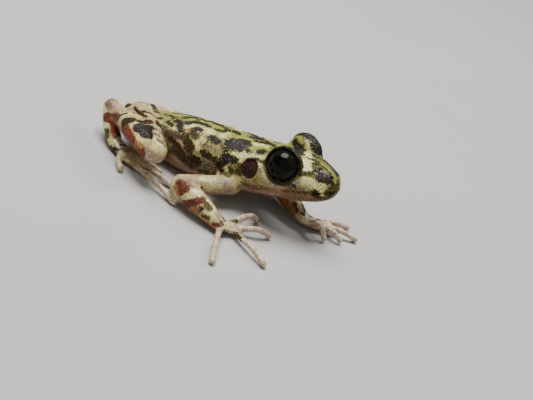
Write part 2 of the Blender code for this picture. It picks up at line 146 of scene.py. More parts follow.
# Markings: half width, then the places that the mark runs through. Those of a limb are on both sides, and
# name its segment first: each place is its share of the way along the segment and its turn round it, from
# the outer side over the top, in degrees.
MARKS = {
    "rose": (
        (0.54, (-1.7, -5.6, 2.8), (0.8, -5.8, 2.8), (4.8, -10.6, 5.0)),
        (0.25, (-2.5, -4.9, 6.1), (-1.4, -5.4, 5.8), (1.0, -6.0, 5.0)),
        (0.43, (12.6, -5.0, 4.7), (15.3, -5.6, 6.1), (17.1, -5.4, 6.6)),
        (0.29, (15.3, -5.9, 7.2), (17.4, -5.5, 7.7), (19.4, -5.1, 7.9)),
        (0.29, (11.3, -4.5, 9.3), (12.2, -5.0, 9.2), (12.9, -5.5, 8.6)),
        (0.49, (20.9, -4.7, 8.4), (21.8, -4.4, 8.8)),
        (0.4, "foot", (0.65, 60), (0.7, 110)),
        (0.35, "foot", (0.05, 60), (0.1, 120)),
        (0.54, "upper_arm", (0.56, -157), (0.24, -154), (0.12, 179)),
        (0.49, "upper_arm", (0.91, 121), (0.82, 143)),
        (0.57, "tarsus", (0.05, 50), (0.26, 71)),
        (0.51, "tarsus", (0.36, 73), (0.54, 77)),
        (0.36, "tarsus", (0.75, 50), (0.82, 87)),
        (0.47, "tarsus", (1.11, -10), (1.43, 54)),
        (0.37, "forearm", (0.82, 59), (0.89, 82)),
        (0.37, "forearm", (0.5, -7), (0.57, -26)),
        (0.35, "foot", (1.64, 117), (2.09, 46)),
        (0.25, "foot", (1.42, 10), (1.29, 53)),
        (0.32, "thigh", (0.26, 113), (0.18, 157)),
        (0.52, "shank", (-0.04, 173), (-0.09, -175)),
    ),
    "blush": (
        (0.45, (13.5, -5.7, 8.1), (14.6, -5.8, 7.7), (16.6, -5.8, 8.2), (18.1, -5.5, 8.7)),
        (0.33, (11.8, -4.6, 9.4), (12.7, -5.3, 9.0), (13.4, -5.6, 8.2)),
        (0.36, (20.5, -4.6, 8.8), (22.4, -4.1, 9.3)),
        (0.34, (15.8, 2.9, 14.2), (16.9, 2.1, 13.7)),
        (0.85, "shank", (-0.04, -179), (-0.1, -158), (-0.13, -95)),
        (0.42, "upper_arm", (0.28, 140), (0.14, 151)),
        (0.63, "tarsus", (0.26, 84), (0.44, 91)),
        (0.53, "tarsus", (0.62, 55), (0.77, 78)),
        (0.56, "foot", (0.95, 16), (1.72, 27), (2.45, 33), (3.05, 34)),
        (0.48, "hand", (-0.56, -10), (0.16, -1)),
    ),
    "pale_and_highlight": (
        (1.1, (16.9, 0.6, 12.4), (17.9, -1.4, 12.4), (18.6, -3.0, 12.1)),
        (0.26, (15.9, 2.3, 13.8), (16.8, 1.7, 13.2)),
        (0.82, (19.6, -4.8, 10.5), (21.0, -4.3, 10.7), (22.3, -3.9, 10.6)),
        (0.41, (22.6, -3.9, 10.3), (23.1, -3.7, 9.4)),
        (0.51, (6.5, -4.4, 8.3), (8.4, -4.2, 8.5), (9.3, -3.8, 9.1)),
        (0.67, (0.7, -2.3, 8.6), (2.0, -2.3, 8.9)),
        (0.58, (-2.0, -2.8, 7.7), (-0.7, -1.8, 8.4)),
        (0.54, (3.8, -2.5, 9.3), (4.5, -1.5, 9.7)),
        (0.33, (1.2, -4.1, 7.8), (1.9, -4.4, 7.8)),
        (0.39, (0.9, -4.8, 7.1), (1.7, -5.3, 6.6)),
        (0.57, (9.2, -0.9, 10.2), (10.7, 0.0, 10.4)),
        (0.39, (9.9, -3.5, 9.4), (11.6, -3.5, 9.9), (12.4, -4.6, 11.1)),
        (0.25, (13.3, -5.3, 8.6), (14.0, -5.7, 8.2), (15.1, -5.8, 7.9)),
        (0.36, (8.3, -4.9, 7.6), (8.8, -4.7, 8.1)),
        (0.36, (7.2, -5.4, 6.1), (7.7, -5.4, 5.9)),
        (0.14, (11.4, -4.6, 9.3), (12.2, -5.0, 9.2)),
        (0.37, (9.6, -5.4, 5.5), (10.3, -5.4, 5.6)),
        (0.57, (-4.1, -3.7, 6.7)),
        (0.45, "shank", (0.61, 151), (0.61, 117), (0.63, 71), (0.54, 57)),
        (0.42, "shank", (0.36, 159), (0.4, 136), (0.43, 115)),
        (0.61, "shank", (0.17, 154), (0.1, 153)),
        (0.29, "thigh", (0.78, 74), (0.95, 69), (1.05, 70)),
        (0.25, "thigh", (0.82, 83), (0.87, 99), (0.91, 117)),
        (0.24, "thigh", (0.95, 84), (1.0, 100), (1.04, 120)),
        (0.85, "shank", (-0.08, 117), (-0.11, 75)),
        (0.88, "tarsus", (0.15, -4), (0.49, -8)),
        (0.62, "tarsus", (0.55, -11), (0.64, 32)),
        (0.85, "tarsus", (0.9, -33), (1.04, 28)),
        (0.74, "tarsus", (1.35, 67), (1.5, 75)),
        (0.67, "forearm", (0.26, 10), (0.31, 45), (0.38, 74)),
        (0.53, "forearm", (-0.12, 14), (0.01, -7), (0.11, -46)),
        (0.53, "forearm", (0.67, 17), (0.77, 50), (0.85, 37)),
        (0.47, "forearm", (0.55, 78), (0.67, 85), (0.75, 84)),
        # a painted highlight: the wet gleam along the upper arm
        (0.41, "upper_arm", (0.63, 171), (0.45, 162), (0.32, 149)),
        (0.48, "upper_arm", (0.69, 112), (0.44, 116)),
        (0.44, "hand", (-0.09, 41), (0.09, 17)),
        (0.4, "foot", (1.1, 20), (1.66, 32), (2.21, 37), (2.7, 38)),
    ),
    # Painted shade: on the low flanks partly their own brown, partly shadow; over the knees the shadows in
    # the folds' creases.
    "umber_and_shade": (
        (0.8, (-5.2, -4.4, 5.6), (-3.6, -4.7, 5.9), (-1.7, -4.7, 6.6)),
        (0.68, (-3.4, -5.0, 5.5), (-1.9, -5.3, 4.9)),
        (0.72, (-1.7, -5.4, 4.6), (0.3, -5.8, 3.9), (2.1, -5.9, 3.5)),
        (0.43, (5.4, -5.7, 5.4), (5.7, -5.6, 4.3)),
        # painted shadows in the creases between the folds over the knee
        (0.28, "thigh", (0.86, 81), (0.9, 105), (1.02, 111)),
        (0.29, "thigh", (0.73, 94), (0.77, 113), (0.7, 146)),
        (0.23, "thigh", (0.99, 84), (1.03, 106), (1.06, 131)),
    ),
    "net": (
        (1.1, (3.8, -5.9, 4.7), (5.0, -5.8, 5.1)),
        (0.43, (15.3, 2.8, 14.0), (16.5, 2.6, 14.1), (17.2, 2.0, 13.5)),
        (0.29, (16.0, 0.6, 12.1), (17.2, -1.2, 12.3)),
        (0.31, (18.4, -5.3, 9.6), (18.9, -5.1, 10.3)),
        (0.26, (2.5, -4.8, 7.4), (3.8, -5.0, 7.6), (4.7, -5.1, 7.5)),
        (0.5, "tarsus", (-0.04, 31), (0.13, 49)),
        (0.59, "tarsus", (-0.11, 88), (-0.03, 119)),
        (0.53, "shank", (0.91, 60), (1.28, -20)),
    ),
    "tan": (
        (0.89, (18.0, -5.5, 8.2), (20.3, -4.9, 8.6)),
        (0.42, (20.3, -4.7, 8.8), (21.6, -4.5, 9.1)),
        (0.67, (17.8, -5.1, 6.6), (20.2, -4.5, 7.3), (22.4, -3.8, 8.3)),
        (0.41, (10.5, -5.7, 4.3), (12.5, -5.3, 5.3), (14.1, -5.7, 6.2)),
        (0.45, "forearm", (0.11, 74), (0.2, 68)),
        (0.55, "forearm", (0.6, 5), (0.62, 27)),
        (0.52, "tarsus", (0.7, 52), (0.85, 63)),
        (0.6, "tarsus", (-0.08, 40), (-0.12, 113)),
        (0.3, "tarsus", (1.2, 96), (1.4, 111)),
    ),
    "red": (
        (0.76, "tarsus", (0.53, 67), (0.7, 75)),
        (1.09, "shank", (0.45, 173), (0.3, 178), (0.15, -169), (0.03, -167)),
        (0.53, "forearm", (0.88, 151), (0.5, -137)),
        (0.31, "forearm", (0.96, 13), (1.01, 22)),
    ),
    "maroon": (
        (0.46, (5.2, -5.6, 6.5), (6.0, -5.6, 6.1)),
        (0.4, "forearm", (0.3, 150), (0.35, 190)),
        (0.4, "tarsus", (0.75, 90), (0.8, 135)),
        (0.5, "thigh", (0.8, 150), (0.84, 190)),
        (0.83, "forearm", (0.04, 42), (0.16, 36)),
        (0.59, "forearm", (0.09, 18), (0.16, 3)),
        (0.68, "forearm", (0.35, -22), (0.43, 11), (0.52, 63)),
        (0.7, "forearm", (0.38, -19), (0.46, 1)),
        (0.4, "forearm", (0.96, 8), (1.02, 24)),
        (0.88, "tarsus", (0.34, 15), (0.45, 57), (0.53, 73)),
        (0.83, "tarsus", (1.14, -10), (1.25, 36)),
        (0.39, "shank", (0.51, 165), (0.39, 174)),
    ),
    "olive": (
        (0.4, (-10.6, 0.4, 5.4), (-10.0, 1.0, 5.5)),
        (0.35, (-4.2, -0.3, 7.7), (-3.4, 0.2, 7.9)),
        (0.35, (3.2, -0.2, 9.5), (3.8, 0.1, 9.6)),
        (0.81, (-0.9, -3.4, 7.8), (0.1, -4.0, 7.6)),
        (0.36, (7.9, -5.4, 6.4), (8.5, -5.4, 5.7)),
        (0.41, (-5.3, -1.9, 7.1), (-5.0, -1.0, 7.4)),
        (0.54, (9.0, -5.1, 7.4), (9.7, -5.5, 6.6)),
        (1.12, (24.0, -2.5, 10.3), (24.1, -1.7, 11.1)),
        (0.52, (23.3, -3.2, 9.9), (24.3, -2.3, 9.5)),
        (0.49, (23.0, -3.7, 8.9), (24.0, -2.6, 9.1)),
        (0.36, (18.5, -4.5, 11.3), (19.4, -3.8, 11.6), (20.6, -3.2, 11.8)),
        (0.35, (19.2, -1.6, 12.5), (20.1, -2.9, 12.1)),
        (0.36, (4.4, -3.6, 8.9), (5.1, -4.3, 8.4)),
        (0.23, (2.5, -4.4, 7.9), (2.6, -5.0, 7.2), (2.8, -5.4, 6.7)),
        (0.26, (13.3, -4.0, 13.2), (11.8, -0.5, 10.7), (11.9, -2.3, 10.5)),
        (0.47, (7.2, -5.9, 5.0), (8.3, -5.9, 5.2)),
        (0.34, (3.6, -5.7, 3.3), (4.9, -5.6, 3.8)),
        (0.4, "forearm", (0.6, 150), (0.65, 185)),
        (0.4, "tarsus", (0.4, 120), (0.45, 165)),
        (0.32, "foot", (0.3, 70), (0.36, 110)),
        (0.51, "hand", (0.66, 9), (0.69, 5)),
        (0.32, "hand", (-0.15, 66), (-0.14, 39)),
        (0.31, "hand", (-0.22, -4), (0.37, -28)),
        (0.3, "hand", (0.64, 114), (0.89, 98)),
        (0.64, "tarsus", (0.69, -1), (0.79, -4)),
        (0.56, "forearm", (0.63, 61), (0.7, 63)),
        (0.42, "forearm", (0.72, -1), (0.79, 7)),
        (0.38, "forearm", (0.75, 134), (0.79, 133)),
        (0.37, "forearm", (0.96, 124), (1.0, 115)),
        (0.35, "shank", (0.25, 76), (0.05, 111)),
        (0.39, "tarsus", (1.38, 99), (1.51, 115)),
    ),
    "brown": (
        (0.86, (-0.4, -5.0, 6.5), (0.5, -5.5, 5.8)),
        (0.58, (2.8, -5.5, 6.4), (4.3, -5.7, 6.5)),
        (0.45, (4.4, -5.7, 6.5), (5.4, -5.6, 6.4)),
        (0.77, (1.5, -6.0, 4.9), (2.6, -5.9, 4.7)),
        (0.56, (21.8, -4.4, 9.5), (22.5, -4.1, 9.0)),
        (0.34, (-1.5, -4.2, 7.1), (-0.9, -4.3, 7.1)),
        (0.47, (-0.7, -3.5, 7.8), (-0.1, -3.9, 7.7)),
        (0.41, (-5.5, -2.7, 6.7), (-4.5, -3.3, 6.8)),
        (0.34, (-7.0, -0.7, 6.7), (-5.5, -1.2, 7.2)),
        (0.4, (23.9, -3.0, 9.7), (24.3, -2.1, 10.0)),
        (0.27, (17.5, -0.6, 12.3), (18.5, -0.5, 12.5), (19.9, -0.5, 12.6)),
        (0.45, "thigh", (0.3, 70), (0.38, 120)),
        (0.4, "thigh", (0.6, 110), (0.66, 160)),
        (0.92, "shank", (0.51, 153), (0.47, 121)),
        (0.77, "shank", (0.4, 83), (0.36, 60)),
        (0.32, "shank", (0.65, 149), (0.62, 109)),
        (0.32, "thigh", (0.08, 43), (0.32, 59), (0.44, 73)),
        (0.78, "thigh", (0.55, 118), (0.35, 164)),
        (0.35, "thigh", (-0.1, 163), (0.11, 158)),
        (0.25, "forearm", (0.61, 15), (0.62, 27)),
        (0.37, "tarsus", (1.16, 40), (1.23, 65)),
        (0.45, "shank", (0.95, 60), (1.31, -16)),
        (0.39, "shank", (0.17, 91), (0.06, 109)),
    ),
    "orange": (
        (0.27, (-1.7, -3.3, 7.6), (-1.3, -3.6, 7.5)),
        (1.05, (16.1, 2.7, 1.7), (17.7, 1.9, 1.5), (19.0, 1.3, 1.3)),
        (0.6, "thigh", (0.3, -120), (0.7, -120)),
        (0.4, "shank", (0.2, -150), (0.8, -150)),
        (0.48, "shank", (0.12, 180), (0.05, 169)),
        (0.4, "forearm", (0.02, 5), (0.11, -21)),
        (0.68, "forearm", (0.77, -32), (0.85, -35), (0.92, -36)),
        (0.96, "forearm", (0.63, -175), (0.81, -165)),
        (0.52, "forearm", (0.5, -9), (0.6, -22)),
    ),
    # Painted sheen: pale lilac reflections of the wet skin on the snout, the lips and the upper arms.
    "lilac_sheen": (
        (0.3, (20.8, -2.4, 12.3), (21.8, -2.1, 12.3), (22.4, -2.2, 12.2)),
        (0.28, (18.5, -5.3, 9.6), (18.9, -5.0, 10.3)),
        (0.27, (14.7, -5.8, 7.9), (15.6, -5.8, 8.0)),
        (0.27, "upper_arm", (0.32, 134), (0.16, 134)),
    ),
    "dark": (
        (0.45, (-9.5, -0.8, 6.0), (-8.6, -0.2, 6.1)),
        (0.4, (-12.2, 0.9, 4.8), (-11.6, 1.3, 5.1)),
        (0.5, (-6.3, 0.9, 7.0), (-5.2, 1.2, 7.3)),
        (0.35, (-2.6, 0.4, 8.2), (-1.6, 0.1, 8.4)),
        (0.4, (1.2, 0.9, 9.0), (2.2, 1.2, 9.2)),
        (0.35, (4.8, 0.6, 9.8), (5.6, 0.4, 9.9)),
        (0.4, (-7.8, -2.6, 6.3), (-7.0, -2.2, 6.3)),
        (0.45, (-11.3, -2.0, 7.2), (-10.4, -1.8, 7.2)),
        (0.98, (5.7, -3.4, 9.1), (8.2, -2.0, 9.8)),
        (0.59, (5.6, -4.0, 8.7), (7.7, -3.3, 9.2)),
        (0.56, (5.7, -2.3, 9.6), (7.9, -0.9, 10.1)),
        (0.47, (8.4, -2.7, 9.5), (9.2, -3.0, 9.5)),
        (0.78, (6.4, -4.9, 7.6), (6.5, -5.3, 6.8)),
        (0.67, (6.9, -5.0, 7.6), (8.1, -4.9, 7.7)),
        (0.58, (6.4, -5.4, 6.5), (6.0, -5.6, 5.7)),
        (0.36, (6.4, -5.6, 5.5), (6.9, -5.6, 5.3)),
        (0.39, (6.0, -4.4, 8.3), (6.3, -4.8, 7.8)),
        (0.71, (2.6, -3.5, 8.5), (3.8, -3.9, 8.6)),
        (0.62, (2.4, -1.1, 9.2), (3.4, -1.0, 9.5)),
        (0.68, (10.7, -2.5, 10.0), (11.1, -1.7, 10.3)),
        (0.55, (-0.6, -2.5, 8.2), (0.1, -2.7, 8.3)),
        (0.7, (-4.3, -2.2, 7.4), (-2.4, -1.7, 8.0)),
        (0.57, (-3.3, -3.1, 7.3), (-2.4, -3.8, 7.1)),
        (0.44, (10.0, -4.4, 8.8), (11.3, -4.0, 9.4), (12.6, -4.7, 10.4)),
        (0.48, (12.6, -4.7, 10.4), (13.2, -4.3, 9.5)),
        (0.78, (21.4, -3.3, 11.7), (22.7, -2.6, 11.9)),
        (0.31, (20.1, -2.8, 12.2), (20.1, -2.4, 12.4), (20.8, -1.9, 12.6)),
        (0.47, (22.5, -1.5, 12.4), (23.4, -1.9, 11.9), (23.5, -2.4, 11.5)),
        (0.32, (18.0, -5.5, 9.1), (18.7, -5.3, 9.1)),
        (0.41, (-3.9, -0.9, 7.7), (-2.8, 0.4, 8.1)),
        (0.52, (-2.9, 0.6, 8.1), (-2.0, 1.6, 8.1), (-0.5, 0.9, 8.6)),
        (0.53, (-1.9, -1.0, 8.3), (-0.8, -0.8, 8.6), (0.7, -0.9, 8.9)),
        (0.53, (0.0, 1.5, 8.6), (1.3, 1.0, 9.0), (3.7, -0.1, 9.6), (5.7, -0.1, 9.9)),
        (0.44, (7.5, 0.6, 10.1), (9.3, 1.4, 10.3), (11.5, 1.8, 10.7)),
        (0.48, (8.8, 0.1, 10.2), (11.2, 1.2, 10.6), (14.7, -4.2, 13.9)),
        (0.3, (10.8, 3.9, 10.1), (12.0, 4.8, 10.2)),
        (0.27, (8.0, 1.1, 10.1), (9.7, 2.9, 10.2)),
        (0.84, (15.1, -3.8, 13.9), (14.4, 2.1, 12.7)),
        (0.59, (14.4, 2.1, 12.8), (15.6, 1.4, 12.6)),
        (0.81, (15.3, 1.2, 12.1), (16.4, 0.0, 12.2)),
        (0.6, (15.5, 1.4, 12.4), (16.2, 1.0, 12.3)),
        (0.4, (17.2, -4.0, 13.3), (17.9, -4.5, 12.2), (18.5, -4.7, 11.0)),
        (0.6, (14.8, 3.7, 14.0), (16.0, 4.0, 14.4)),
        (0.8, (16.7, 3.6, 14.4), (17.9, 3.0, 13.8), (18.5, 2.7, 12.9)),
        (0.48, (17.2, 2.2, 13.6), (17.8, 2.2, 13.2)),
        (0.4, (18.3, 1.2, 12.5), (19.7, 1.4, 12.6), (20.9, 1.1, 12.6), (22.2, 0.6, 12.4),
            (23.2, -0.4, 12.3)),
        (0.32, (19.1, -1.6, 12.5), (20.1, -1.0, 12.6), (21.2, -0.9, 12.6), (22.5, -1.3, 12.4)),
        (1.31, "shank", (0.28, 114), (0.24, 91)),
        (0.79, "shank", (0.18, 111), (0.11, 117)),
    ),
    # Dark blotches; their lighter violet specks are painted glints of sheen.
    "dark_with_violet_glints": (
        (0.6, (6.2, -2.8, 9.4), (8.1, -2.2, 9.7)),
        (0.47, (20.9, -2.8, 12.1), (22.4, -2.2, 12.2)),
        (0.39, (6.5, -5.0, 7.4), (7.2, -5.1, 7.4)),
        (0.46, (-3.6, -1.8, 7.7), (-2.6, -1.7, 7.9)),
        (0.28, (2.9, -3.6, 8.6), (3.7, -3.8, 8.6)),
        (0.3, (-0.3, -2.6, 8.2), (0.1, -2.6, 8.3)),
        (0.76, "shank", (0.29, 127), (0.22, 119), (0.15, 124)),
    ),
    "green": (
        (0.25, (20.2, -0.3, 12.7), (21.5, -0.5, 12.6), (22.7, -1.2, 12.3), (23.7, -1.8, 11.7)),
        (0.33, (14.6, 2.6, 13.5), (15.3, 1.9, 13.2)),
        (0.3, (9.0, -2.3, 9.8), (10.3, -0.9, 10.3), (11.9, -1.2, 10.7)),
        (0.34, (4.5, -1.7, 9.6), (6.0, -1.0, 9.8), (7.8, -0.3, 10.1)),
        (0.29, (-3.5, -1.3, 7.8), (-2.3, -0.3, 8.3)),
        (0.29, (0.8, 0.0, 8.9), (2.9, -0.6, 9.4)),
        (0.21, (11.6, -3.6, 9.9), (12.6, -4.6, 11.3)),
        (0.27, (11.6, 3.2, 10.5), (13.8, 2.2, 11.7)),
        (0.23, (11.4, -5.2, 6.8), (12.5, -5.7, 7.4)),
    ),
}
# Folds, and creases below nought: height, width and the places that they run through.
FOLDS = (
    (0.34, 0.3, (-5.4, -9.7, 7.9), (-4.1, -11.6, 8.0), (-2.7, -13.0, 7.8)),
    (0.3, 0.26, (-4.3, -10.5, 8.0), (-3.5, -10.6, 8.1), (-2.7, -10.6, 7.7)),
    (0.3, 0.26, (-3.3, -11.7, 8.0), (-2.4, -11.8, 8.0), (-1.6, -11.8, 7.6)),
    (0.26, 0.24, (-4.8, -8.9, 8.0), (-4.4, -8.1, 7.5)),
    (-0.3, 0.22, (-4.0, -11.0, 7.8), (-3.1, -10.7, 7.8), (-2.0, -11.8, 8.0)),
    (-0.28, 0.22, (-4.7, -9.4, 7.8), (-3.9, -9.3, 7.7), (-3.7, -8.1, 6.9)),
    (-0.26, 0.22, (-2.9, -12.2, 7.8), (-2.1, -12.1, 7.7), (-1.3, -11.9, 7.3)),
    (0.7, 1.2, (-9.8, -10.1, 5.6), (-7.8, -11.9, 5.8), (-5.7, -13.2, 5.7), (-3.9, -14.0, 5.8)),
    (-0.32, 0.26, (-5.7, -9.9, 7.6), (-4.5, -11.6, 7.6), (-3.4, -12.9, 7.5)),
    (0.16, 0.32, (-11.3, -8.5, 5.9), (-10.8, -7.9, 6.9), (-10.5, -6.0, 6.6), (-8.8, -6.9, 7.1)),
    (-0.22, 0.25, (-12.4, -3.1, 6.0), (-9.6, -5.7, 7.0), (-7.5, -7.1, 7.6), (-6.1, -8.7, 7.8)),
    (0.14, 0.3, (11.0, -4.1, 9.4), (12.2, -5.0, 9.2), (13.1, -5.6, 8.4)),
    (0.2, 0.34, (12.4, -4.7, 10.8), (10.8, -3.9, 9.5), (9.6, -4.6, 8.6), (9.2, -5.3, 7.5),
        (9.2, -5.5, 6.0), (9.1, -6.3, 5.1)),
    (-0.12, 0.25, (11.9, -4.0, 9.7), (10.7, -4.2, 9.1), (9.8, -4.6, 8.2)),
    (0.2, 0.42, (-4.1, -4.7, 5.7), (-1.9, -5.3, 5.9), (0.5, -5.9, 5.1), (2.6, -5.9, 3.6)),
    (0.2, 0.3, (-1.7, -5.6, 2.8), (0.8, -5.8, 2.8), (4.8, -10.6, 5.0)),
    (-0.16, 0.4, (-2.9, -5.1, 5.2), (-0.7, -5.5, 4.7), (1.3, -5.8, 3.6)),
    (-0.26, 0.3, (5.7, -11.5, 4.3), (6.7, -10.4, 3.3), (8.2, -12.5, 3.8)),
    (-0.2, 0.25, (11.8, -13.8, 2.5), (12.3, -14.8, 1.7), (12.5, -15.9, 1.5)),
    (-0.18, 0.3, (10.0, -5.5, 5.1), (11.3, -5.1, 5.2), (13.0, -5.5, 6.0)),
    (0.14, 0.35, (18.1, -4.5, 11.5), (19.4, -3.5, 11.9), (20.3, -1.9, 12.6), (22.2, -1.4, 12.4)),
    (-0.12, 0.4, (19.0, -4.5, 11.0), (20.6, -3.7, 11.5)),
    (-0.1, 0.16, (17.5, -0.5, 12.3), (18.7, -0.6, 12.5), (20.4, -0.6, 12.6)),
)


# The head's own frame

def head_point(x, y, z):
    return HEAD_AT + HEAD_ROT @ Vector((x, y, z))


def head_dir(v):
    return (HEAD_ROT @ Vector(v)).normalized()


def in_head_frame(p):
    return HEAD_ROT.transposed() @ (Vector(p) - HEAD_AT)


def on_head(path):
    return in_head_frame(path[0]).x > HEAD_FROM


def head_rows(rows):
    """Rows of places in the head's own frame."""
    return (rows - np.array(HEAD_AT)) @ np.array(HEAD_ROT)


# Working on meshes

def new_object(name, data):
    made = bpy.data.objects.new(name, data)
    bpy.context.scene.collection.objects.link(made)
    return made


def from_bmesh(bm, name):
    mesh = bpy.data.meshes.new(name)
    bm.to_mesh(mesh)
    bm.free()
    return new_object(name, mesh)


def edit(obj, change):
    """Runs change(bm) on the object's mesh."""
    bm = bmesh.new()
    bm.from_mesh(obj.data)
    bm.normal_update()
    change(bm)
    bm.to_mesh(obj.data)
    bm.free()


def applied(obj):
    """Applies the object's modifiers."""
    bpy.context.view_layer.update()
    evaluated = obj.evaluated_get(bpy.context.evaluated_depsgraph_get())
    obj.data = bpy.data.meshes.new_from_object(evaluated)
    obj.modifiers.clear()


def coords(obj):
    """The places of the mesh's vertices as rows of numbers."""
    rows = np.zeros(len(obj.data.vertices) * 3, np.float32)
    obj.data.vertices.foreach_get("co", rows)
    return rows.reshape(-1, 3).astype(float)


def normals(obj):
    rows = np.zeros(len(obj.data.vertices) * 3, np.float32)
    obj.data.vertex_normals.foreach_get("vector", rows)
    return rows.reshape(-1, 3).astype(float)


def set_coords(obj, rows):
    obj.data.vertices.foreach_set("co", rows.astype(np.float32).ravel())
    obj.data.update()


def add_attribute(obj, name, values):
    obj.data.attributes.new(name, "FLOAT", "POINT").data.foreach_set("value", values.astype(np.float32))


def finish(obj, material, nodes):
    """Brings a finished piece from millimetres to metres, in place of the CAD nodes that it stands for."""
    obj.data.transform(Matrix.Scale(MM, 4))
    obj.data.materials.clear()
    obj.data.materials.append(material)
    obj.data.shade_smooth()
    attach(obj, "root")
    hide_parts(*nodes)


def surface_of(obj):
    return BVHTree.FromObject(obj, bpy.context.evaluated_depsgraph_get())


def named(nodes, *starts):
    """Those of the nodes whose names start so."""
    return [node for node in nodes if node.startswith(starts)]


def ease(value, low, high):
    """0 below low, 1 above high and a smooth step between them."""
    t = np.clip((value - low) / (high - low), 0.0, 1.0)
    return t * t * (3 - 2 * t)


def hump(distance, width):
    """1 on a line or point, and falling to nothing some widths away."""
    return np.exp(-((distance / width) ** 2))


def path_distance(rows, path):
    """How far each row is from a path of points, and how far along it the nearest point is, from 0 to 1."""
    best = np.full(len(rows), 1e9)
    along = np.zeros(len(rows))
    points = [np.array(p, float) for p in path]
    if len(points) == 1:
        return np.linalg.norm(rows - points[0], axis=1), along
    for k, (a, b) in enumerate(zip(points, points[1:])):
        span = b - a
        t = np.clip(((rows - a) @ span) / max(span @ span, 1e-12), 0.0, 1.0)
        d = np.linalg.norm(rows - a - t[:, None] * span, axis=1)
        nearer = d < best
        best[nearer] = d[nearer]
        along[nearer] = (k + t[nearer]) / (len(points) - 1)
    return best, along


# The skin's shape

def swollen_flesh(names):
    """Copies of the nodes in one mesh, in millimetres, each swollen a little."""
    bm = bmesh.new()
    for name in names:
        bm.from_mesh(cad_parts[name].data)
    bmesh.ops.scale(bm, vec=(1 / MM,) * 3, verts=bm.verts)
    bmesh.ops.remove_doubles(bm, verts=bm.verts, dist=1e-3)
    bm.normal_update()
    moves = [(vert, vert.normal * SWELL) for vert in bm.verts]
    for vert, move in moves:
        vert.co += move
    return from_bmesh(bm, "toad_skin")


def in_head(p, margin):
    """Whether a point is in the head or no further than the margin from it."""
    x, y, z = in_head_frame(p)
    return x > HEAD_FROM - margin and abs(y) < HEAD_HALF_WIDE + margin and z > HEAD_UNDER - margin


def keep_largest(obj):
    """Leaves only the largest closed surface, without the bubbles shut in it."""

    def prune(bm):
        left, groups = set(bm.verts), []
        while left:
            group, todo = set(), [left.pop()]
            while todo:
                vert = todo.pop()
                group.add(vert)
                for edge in vert.link_edges:
                    other = edge.other_vert(vert)
                    if other in left:
                        left.discard(other)
                        todo.append(other)
            groups.append(group)
        best = max(groups, key=len)
        bmesh.ops.delete(bm, geom=[v for v in bm.verts if v not in best], context="VERTS")

    edit(obj, prune)


def thin_out(obj, most):
    """Leaves so many triangles, with the finest ones where the shape has its detail."""
    count = sum(len(face.vertices) - 2 for face in obj.data.polygons)
    if count > most:
        fewer = obj.modifiers.new("fewer", "DECIMATE")
        fewer.ratio = most / count
        applied(obj)


def smooth_where(obj, rounds, keep):
    """Relaxes the vertices for which keep(vertex) is true."""

    def relax(bm):
        verts = [v for v in bm.verts if keep(v)]
        for _ in range(rounds):
            bmesh.ops.smooth_vert(
                bm, verts=verts, factor=0.5, use_axis_x=True, use_axis_y=True, use_axis_z=True,
            )

    edit(obj, relax)


def subdivide_where(obj, inside):
    """Cuts each edge in two whose ends are both inside, which has a value for each vertex."""

    def cut(bm):
        edges = [e for e in bm.edges if all(inside[v.index] for v in e.verts)]
        bmesh.ops.subdivide_edges(bm, edges=edges, cuts=1, use_grid_fill=True)

    edit(obj, cut)


def build_skin(flesh):
    """One closed skin over all the flesh, with a finer mesh on the head."""
    skin = swollen_flesh(flesh)
    remesh = skin.modifiers.new("join", "REMESH")
    remesh.mode = "VOXEL"
    remesh.voxel_size = VOXEL
    applied(skin)
    smooth_where(skin, 3, lambda v: True)
    set_coords(skin, coords(skin) - normals(skin) * SWELL)
    digits = [[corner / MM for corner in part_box(name)] for name in named(flesh, "finger", "toe")]

    def broad(vert):
        """Whether a vertex is away from every finger and toe."""
        p = vert.co
        return not any(
            all(lo[k] - DIGIT_ROOM < p[k] < hi[k] + DIGIT_ROOM for k in range(3)) for lo, hi in digits
        )

    smooth_where(skin, 4, broad)
    subdivide_where(skin, [in_head(v.co, 0) for v in skin.data.vertices])
    smooth_where(skin, 3, lambda v: in_head(v.co, 0.3))
    keep_largest(skin)
    return skin


def mouth_path(surface):
    """The line between the lips, from one corner of the mouth to the other."""
    path = []
    for step in range(2 * MOUTH_STEPS + 1):
        angle = MOUTH_SPAN * (step / MOUTH_STEPS - 1)
        fall = MOUTH_DROP * (1 - math.cos(angle)) / (1 - math.cos(MOUTH_SPAN))
        out = head_dir((math.cos(angle), math.sin(angle), 0))
        path.append(surface.ray_cast(head_point(MOUTH_CENTRE_X, 0, MOUTH_FRONT_Z - fall), out)[0])
    return path


def beside_head(surface, side, x, z):
    """The point of the skin at the side of the head."""
    return surface.ray_cast(head_point(x, 0, z), head_dir((0, SIDES[side], 0)))[0]


def eye_axis(side):
    return head_dir((EYE_AXIS.x, SIDES[side] * EYE_AXIS.y, EYE_AXIS.z))


def shape_lids(skin):
    """Draws the sockets' walls in to the eyeballs and gives the lids their edges."""
    rows, out = coords(skin), normals(skin)
    up = np.array(head_dir((0, 0, 1)))
    for side in SIDES:
        centre = np.array(EYES[side])
        axis = np.array(eye_axis(side))
        away = rows - centre
        far = np.linalg.norm(away, axis=1)
        height = away @ axis
        above = ease(away @ up, -0.6, 1.6)
        near = 1 - ease(far, 3.3, 4.2)
        edge = hump(height - LID_RIM, 0.45) * near * (LID_EDGE_UNDER + LID_EDGE_MORE * above)
        rows += axis * edge[:, None]
        crease = hump(far - LID_CREASE_R, 0.2) * ease(height, -1.5, 0.0) * above
        rows -= out * (LID_CREASE * crease)[:, None]
        away = rows - centre
        far = np.linalg.norm(away, axis=1)
        hold = 1 - ease(far, 2.8, 3.0)
        rows += away / far[:, None] * ((LID_REST - far) * hold)[:, None]
    set_coords(skin, rows)


